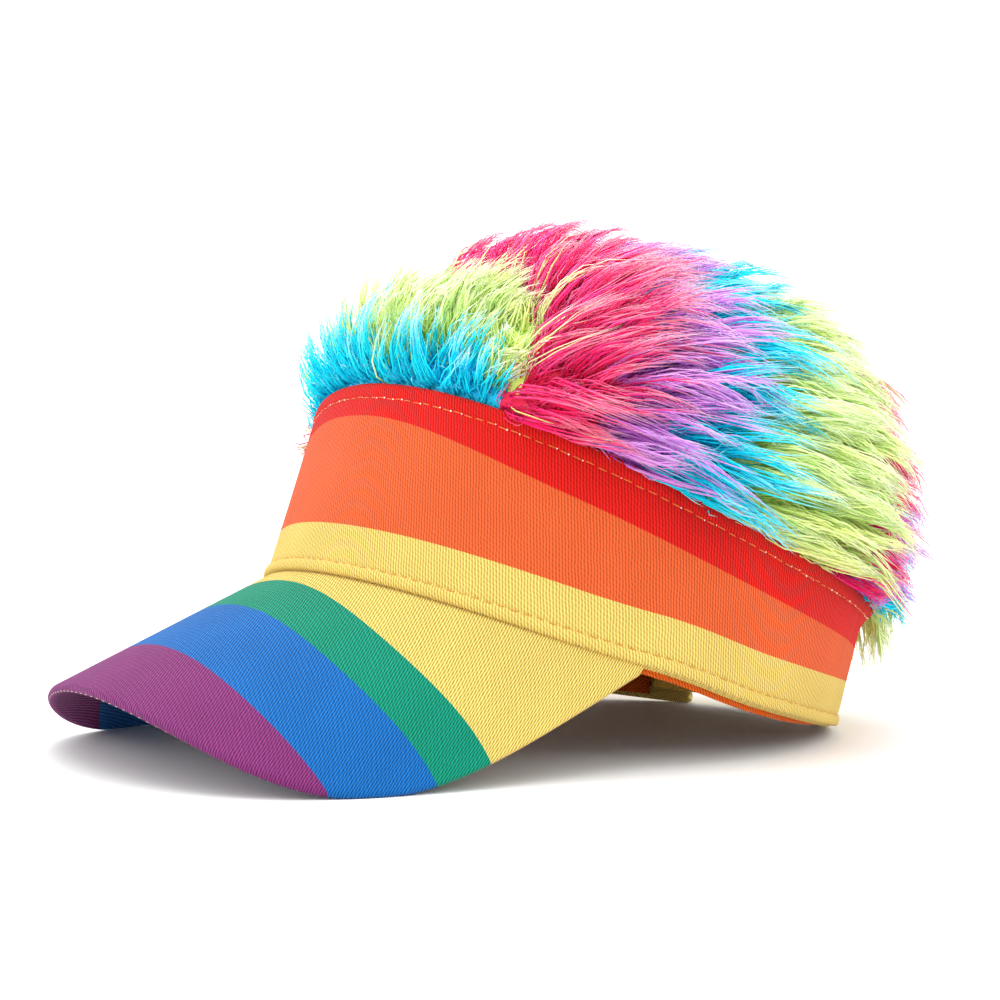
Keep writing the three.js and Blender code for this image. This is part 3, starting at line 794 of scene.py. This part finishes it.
def crown_out(points):
    """Direction straight out of the crown beside points near it, whose place on the crown is
    found from how high and how far out they are."""
    x, y, z = np.moveaxis(points, -1, 0)
    front, side, rear = BAND_HEIGHTS
    rim_height = (front + rear) / 2 + HEM_WAVE - (front - rear) / 2 * y / HALF_LENGTH
    rise = np.maximum(z - rim_height, 0) / CROWN_RISE
    middle = 0 * y
    for _ in range(3):
        ahead = (middle - y) / HALF_LENGTH
        wide = np.hypot(x / HALF_WIDTH, ahead)
        climb = np.arctan2(rise, wide ** (1 / CROWN_FULLNESS))
        middle = CROWN_BACK * (1 - np.cos(climb) ** (2 * CROWN_FULLNESS))
    angle = np.degrees(np.arctan2(x / HALF_WIDTH, ahead))
    return crown_normal(angle, np.degrees(climb))


def comb_path(roots, normals, steps, length, sway, turning=0.36):
    """Paths of locks or fibres from their roots. Each leaves its root at a lean and turns, by
    the share turning at each step, to the way that the pile is combed: up at the front of the
    band, backwards above and behind it, highest beside the parting, and downwards at the nape.
    sway holds its turn aside in radians and what its two leans gain in degrees."""
    x, y, z = np.moveaxis(roots, -1, 0)
    behind = y - parting_line(roots)
    above = above_band(roots)
    is_front = (behind < 0)[:, None]
    at_rim = (1 - smooth(above, 4, 22))[:, None]
    fringe = smooth(-behind, 4, 30)[:, None]
    nape = (smooth(y, 45, 92) * (1 - smooth(above, 10, 60)))[:, None]
    swirl = sway[:, 0] + 0.16 * np.sin(x * 0.09 + z * 0.06) + 0.1 * np.sin(y * 0.11 + 2)
    raised = np.exp(-np.maximum(behind, 0) / 16)[:, None]
    low_down = 1 - 0.7 * smooth(z, 85, 105)[:, None]
    hem_side = (1 - smooth(above, 2, 20))[:, None]
    rim_wish = np.stack([0.006 * x, 0.35 + 0.012 * np.abs(x), 1.0 + 0 * x], -1)
    crest_wish = np.stack([0.2 + 0.01 * x, 0.3 + 0 * x, 0.8 + 0 * x], -1)
    front_wish = rim_wish * at_rim + crest_wish * (1 - at_rim)
    droop = 0.04 + 0.22 * np.clip(-roots[:, 1:2] / 70, 0, 1)
    back_rise = 0.3 * raised * (1 - hem_side) - droop * hem_side
    back_wish = np.concatenate([0.0012 * roots[:, :1], 1 + 0 * raised, back_rise], 1)
    nape_wish = np.stack([0.002 * x, 0.55 + 0 * x, -1 + 0 * x], -1)
    wish = np.where(is_front, front_wish, back_wish * (1 - nape) + nape_wish * nape)
    front_root, front_tip = (
        lean + at_band * at_rim + far * fringe for lean, at_band, far in FRONT_LEANS)
    lean, beside, at_band = BACK_ROOT_LEAN
    back_root = lean + beside * raised * low_down + at_band * hem_side
    root_lean = np.where(is_front, front_root, back_root) + sway[:, 1:2]
    tip_lean = np.where(is_front, front_tip, NAPE_TIP_LEAN * nape) + sway[:, 2:3]
    path = [roots]
    # Behind the parting, fibres start out forwards, and beside the band they start lower.
    upright = (np.exp(-np.maximum(behind, 0) / 9) * smooth(above, 4, 26))[:, None] * ~is_front
    lowered = (1 - smooth(above, 0, 9))[:, None] * np.where(is_front, 0, 0.55)
    heading = unit(normals + upright * [0, -1.7, 0.3] - lowered * [0, 0, 1])
    for step in range(steps):
        here = path[-1]
        out = crown_out(here)
        along = unit(wish - out * np.sum(wish * out, -1, keepdims=True))
        across = np.cross(out, along)
        along = unit(along + across * swirl[:, None])
        lean = np.radians(root_lean + (tip_lean - root_lean) * min(1, step / steps * 1.6))
        target = along * np.cos(lean) + out * np.sin(lean)
        heading = unit(heading + (target - heading) * turning)
        path.append(here + heading * length[:, None] / steps)
    path = np.stack(path, 1)
    # What would hang below the band's top edge is lifted to it, but not at the nape.
    hanging = np.minimum(above_band(path) + 0.5, 0) * (1 - nape)
    path[..., 2] -= 0.9 * hanging
    return path


def is_front_of_parting(roots):
    """True where a root is ahead of the parting."""
    return roots[:, 1] < parting_line(roots)


def nearest_of(points, others):
    """Number of the nearest of others to each point, on its own side of the parting."""
    other_side = is_front_of_parting(others)
    found = []
    for part in np.array_split(points, 90):
        apart = ((part[:, None] - others) ** 2).sum(-1)
        found.append(np.argmin(apart + 1e4 * (is_front_of_parting(part)[:, None] != other_side), 1))
    return np.concatenate(found)


# Neighbouring locks lean together in tufts, and draw together towards the tuft's tip.
tuft_roots = spread_roots(TUFTS)[0]
tuft_sway = rng.normal(0, 1, (TUFTS, 3)) * (0.16, 7, 8)
tuft_length = rng.uniform(0.8, 1.12, TUFTS)
lock_roots, lock_normals = spread_roots(LOCKS)
tuft = nearest_of(lock_roots, tuft_roots)
lock_front = is_front_of_parting(lock_roots)
to_parting = parting_line(lock_roots) - lock_roots[:, 1]
lock_share = np.where(lock_front, np.minimum(0.66, 0.36 + 0.8 * to_parting / PILE_LENGTH), 1.0)
lock_share *= 1 - 0.2 * smooth(lock_roots[:, 1], 0, 75)
lock_length = PILE_LENGTH * lock_share * tuft_length[tuft] * rng.uniform(0.86, 1.06, LOCKS)
lock_sway = tuft_sway[tuft] + rng.normal(0, 1, (LOCKS, 3)) * (0.07, 4, 4)
lock_paths = comb_path(lock_roots, lock_normals, GUIDE_STEPS, lock_length, lock_sway)
drawn = smooth(np.linspace(0, 1, GUIDE_STEPS + 1), 0.15, 1.1)[:, None]
lock_paths -= 0.6 * (lock_roots - tuft_roots[tuft])[:, None] * drawn
roots, normals = spread_roots(FIBRES)
front = is_front_of_parting(roots)
nearest = nearest_of(roots, lock_roots)
reach_share = np.where(rng.random(FIBRES) < 0.2, 0.32, 1.0) * rng.uniform(0.66, 1.0, FIBRES)
ring_share = np.linspace(0, 1, FIBRE_RINGS)
along_guide = ring_share * reach_share[:, None] * GUIDE_STEPS
low = np.minimum(along_guide.astype(int), GUIDE_STEPS - 1)
part = (along_guide - low)[..., None]
guides = lock_paths[nearest]
row = np.arange(FIBRES)[:, None]
followed = guides[row, low] * (1 - part) + guides[row, low + 1] * part
gather = rng.uniform(0.45, 0.95, LOCKS)[nearest, None]
apart = 1 - gather * smooth(ring_share, 0.1, 1.0)
offset = (roots - lock_roots[nearest])[:, None] * apart[..., None]
grown = ring_share[None, :, None]
splay = rng.normal(0, 1.1, (FIBRES, 1, 3)) * grown ** 1.6 * (1.3 - gather[..., None])
stray = np.where(rng.random(FIBRES) < 0.06, 3.0, 1.0)[:, None, None]


def wave(phase, turns):
    """Bend that starts from nothing at the root and swings along the length."""
    return (np.sin(phase + grown * turns) - np.sin(phase)) * grown


lock_phase = rng.uniform(0, 6.28, (LOCKS, 1, 3))[nearest]
lock_wave = wave(lock_phase, rng.uniform(3, 6, (LOCKS, 1, 3))[nearest])
own_wave = wave(rng.uniform(0, 6.28, (FIBRES, 1, 3)), rng.uniform(3, 8, (FIBRES, 1, 3)))
centres = followed + offset + splay * stray + 1.5 * lock_wave + 0.3 * stray * own_wave
centres[:, 0] -= normals * 0.6

tangent = unit(np.gradient(centres, axis=1))
across = unit(np.cross(tangent, normals[:, None] + 0.01))
over = np.cross(across, tangent)
taper = np.array([0.85, 1.0, 0.9, 0.65, 0.1])
radii = FIBRE_RADIUS * taper * rng.uniform(0.65, 1.25, (FIBRES, 1))
dye = dye_of(0.45 * roots + 0.55 * tuft_roots[tuft[nearest]] + rng.normal(0, 0.8, roots.shape))
behind = roots[:, 1] - parting_line(roots)
chance = rng.random(FIBRES)
dye = np.where((behind > 0) & (behind < 2.5) & (roots[:, 2] < 88) & (chance < 0.35), 1, dye)
dye = np.where(front & (roots[:, 2] > 98) & (chance < 0.05), 2, dye)
# The tone differs at random by lock and by fibre. It is spread wider than the dyes' own, so it also
# paints highlights and the shade between locks.
lock_tone_and_light = rng.uniform(0.0, 1.0, LOCKS)[nearest]
fibre_tone_and_light = np.clip(0.5 * lock_tone_and_light + 0.5 * rng.random(FIBRES), 0.06, 0.94)
chart_across = (dye + 0.06 + 0.88 * fibre_tone_and_light) / 4


def fibre_chart(chart, rings):
    """Places in the dye chart for each face corner of fibres: across is the dye and its shade,
    a little apart from side to side, and up is the share of the length."""
    place = chart[:, None, None] + 0.004 * (np.arange(FIBRE_SIDES) - 1)
    length = np.linspace(0.03, 0.97, rings)[:, None]
    grid = np.stack(np.broadcast_arrays(place, length), -1)
    following = np.roll(grid, -1, 2)
    walls = np.stack([grid[:, :-2], following[:, :-2], following[:, 1:-1], grid[:, 1:-1]], 3)
    ends = np.stack([grid[:, -2], following[:, -2], grid[:, -1]], 2)
    starts = grid[:, 0, ::-1] + [[0, 0], [0, 0.02], [0, 0]]
    return np.concatenate([walls.reshape(-1, 2), ends.reshape(-1, 2), starts.reshape(-1, 2)])


# Dyed acrylic: light passes through the fibres, so the pile glows in its dyes and its shade
# stays soft. It hardly shines, because so many fine fibres scatter the gloss.
fur, tree, shader = new_material("dyed_acrylic_pile", roughness=0.45, ior=1.5, specular=0.02)
shader.inputs["Subsurface Weight"].default_value = 0.8
shader.inputs["Subsurface Radius"].default_value = (1, 1, 1)
shader.inputs["Subsurface Scale"].default_value = 0.0015
chart = node(tree, "ShaderNodeUVMap", uv_map="OFBake")
chart_place = node(tree, "ShaderNodeSeparateXYZ", {0: chart.outputs[0]})


def dye_ramp(tree, place, which):
    """Colour across the chart for the root, middle or tip: each dye from one extreme of its
    shade to the other, with a hard edge between dyes."""
    ramp = node(tree, "ShaderNodeValToRGB", {0: place})
    elements = ramp.color_ramp.elements
    while len(elements) < 8:
        elements.new(0.5)
    for number, dye_colours in enumerate(DYES):
        for end in (0, 1):
            elements[2 * number + end].position = (number + 0.999 * end) / 4
            elements[2 * number + end].color = linear(dye_colours[which][end])
    return ramp.outputs[0]


colour = dye_ramp(tree, chart_place.outputs[0], 0)
for which, low_end, high_end in ((1, 0.05, 0.45), (2, 0.5, 1.0)):
    grown_past = node(
        tree, "ShaderNodeMapRange",
        {"Value": chart_place.outputs[1], "From Min": low_end, "From Max": high_end},
        interpolation_type="SMOOTHSTEP")
    next_colour = dye_ramp(tree, chart_place.outputs[0], which)
    mixed = node(
        tree, "ShaderNodeMix", {0: grown_past.outputs[0], 6: colour, 7: next_colour},
        data_type="RGBA")
    colour = mixed.outputs[2]
tree.links.new(colour, shader.inputs["Base Color"])


def add_fibres(name, centres, radii, across, over, chart, top=1.0):
    """A piece of fibres, dyed by the chart's columns up to its row top."""
    points, faces = tubes(centres, radii, across, over, FIBRE_SIDES)
    mesh = cloth_mesh(name, points, faces)
    layer = mesh.uv_layers.new(name="OFBake")
    corners = fibre_chart(chart, centres.shape[1]) * [1, top]
    layer.uv.foreach_set("vector", corners.astype(np.float32).ravel())
    add_piece(mesh, fur, "acrylic_pile", "fur")


for number, group in enumerate(np.array_split(np.argsort(roots[:, 1]), 5)):
    add_fibres(
        f"pile_{number + 1}", centres[group], radii[group], across[group], over[group],
        chart_across[group])


# The underfur: short acrylic fibres, combed flatter than the pile, over a thin felt that hides
# the backing. The fibres are made as the pile's are, and the felt is a dome with small tufts,
# coloured as the middle of the fibres that stand in it.
UNDERFUR_FIBRES = 12000
UNDERFUR_LENGTH = 13.0
UNDERFUR_RADIUS = 0.42
UNDERFUR_LEAN = -28.0  # degrees, how much flatter than the pile
FELT_DEPTH = 1.0
FELT_TUFT = 0.4
FELT_LIFT = 0.15  # off the backing's face

short_roots, short_normals = spread_roots(UNDERFUR_FIBRES)
short_sway = rng.normal(0, 1, (UNDERFUR_FIBRES, 3)) * (0.35, 14, 14) + (0, UNDERFUR_LEAN, 0)
short_length = UNDERFUR_LENGTH * rng.uniform(0.5, 1.2, UNDERFUR_FIBRES)
short_centres = comb_path(short_roots, short_normals, 2, short_length, short_sway, turning=0.75)
short_heading = unit(short_centres[:, 2] - short_centres[:, 0])
short_across = unit(np.cross(short_heading, [0.3, 0.5, 0.8]))[:, None] * np.ones((1, 3, 1))
short_over = np.cross(short_across, short_heading[:, None])
short_radii = UNDERFUR_RADIUS * np.array([1, 0.8, 0]) * rng.uniform(0.7, 1.2, (UNDERFUR_FIBRES, 1))
short_chart = (dye_of(short_roots) + 0.06 + 0.88 * rng.random(UNDERFUR_FIBRES)) / 4
add_fibres(
    "underfur_fibres", short_centres, short_radii, short_across, short_over, short_chart, top=0.8)

under_turn, under_climb = np.meshgrid(turns, np.linspace(0, 88, 36))
under_base = crown_point(under_turn, under_climb)
tufts = np.sin(under_base * [0.9, 0.8, 0.7]).prod(-1)
under_depth = (FELT_DEPTH + FELT_TUFT * tufts) * smooth(under_climb, -3, 6)
under_outer = under_base + crown_normal(under_turn, under_climb) * under_depth[..., None]
under_inner = under_base + crown_normal(under_turn, under_climb) * FELT_LIFT
under_rows = np.concatenate([under_outer, under_inner[::-1]])
under_points, under_faces = closed_dome(under_rows, (FELT_DEPTH, FELT_LIFT))
under_middles = np.concatenate([under_points[part].mean(1) for part in under_faces])
under_dye = (dye_of(under_middles) + 0.5) / 4
under_mesh = cloth_mesh("underfur", under_points, under_faces, stripe=under_dye)

# Matted acrylic: without gloss, a little downy at its edges, and with a fluff about 1 mm wide.
underfur, tree, shader = new_material("dyed_acrylic_underfur", roughness=0.8, ior=1.5, sheen=0.3)
under_place = node(tree, "ShaderNodeAttribute", attribute_name="stripe")
under_colour = dye_ramp(tree, under_place.outputs["Fac"], 1)
object_place = node(tree, "ShaderNodeTexCoord")
fluff = node(
    tree, "ShaderNodeTexNoise",
    {"Vector": object_place.outputs["Object"], "Scale": 900.0, "Detail": 3.0})
tree.links.new(under_colour, shader.inputs["Base Color"])
bump_surface(tree, shader, fluff.outputs[0], 0.8, 0.0008)
add_piece(under_mesh, underfur, "acrylic_pile", "fur")


# The studio: a white table that runs to a white surround, with soft light from all round, a
# large round softbox overhead, and two weaker ones to the left and right of the camera.
floor_mesh = bpy.data.meshes.new("table")
ring = np.radians(np.arange(0, 360, 4))
floor_points = [(4 * math.cos(a), 4 * math.sin(a), -0.0002) for a in ring]
floor_mesh.from_pydata(floor_points, [], [list(range(len(floor_points)))])
table = bpy.data.objects.new("table", floor_mesh)
bpy.context.collection.objects.link(table)

# White laminate: matt and nearly flat, with slow unevenness about 270 mm wide.
white, tree, shader = new_material("white_laminate", roughness=0.6, ior=1.45)
shader.inputs["Base Color"].default_value = (0.8, 0.8, 0.795, 1)
table_place = node(tree, "ShaderNodeTexCoord")
uneven = node(
    tree, "ShaderNodeTexNoise", {"Vector": table_place.outputs["Object"], "Scale": 3.75})
bump_surface(tree, shader, uneven.outputs[0], 0.02, 0.0005)
floor_mesh.materials.append(white)

world = bpy.data.worlds.new("white_surround")
bpy.context.scene.world = world
world.use_nodes = True
world.node_tree.nodes["Background"].inputs["Color"].default_value = (1, 1, 1, 1)
world.node_tree.nodes["Background"].inputs["Strength"].default_value = 1.7
bpy.context.scene.view_settings.view_transform = "Standard"

middle = Vector((0, 0, 0.07))
for name, place, size, power in (
        ("overhead_softbox", (0.1, -0.1, 1.3), 1.2, 8.0),
        ("left_softbox", (-0.5, -1.2, 0.6), 0.6, 3.0),
        ("right_softbox", (1.2, 0.5, 0.6), 0.6, 3.0)):
    light = bpy.data.lights.new(name, "AREA")
    light.shape = "DISK"
    light.size = size
    light.energy = power
    lamp = bpy.data.objects.new(name, light)
    lamp.location = place
    lamp.rotation_euler = (middle - Vector(place)).to_track_quat("-Z", "Y").to_euler()
    bpy.context.collection.objects.link(lamp)
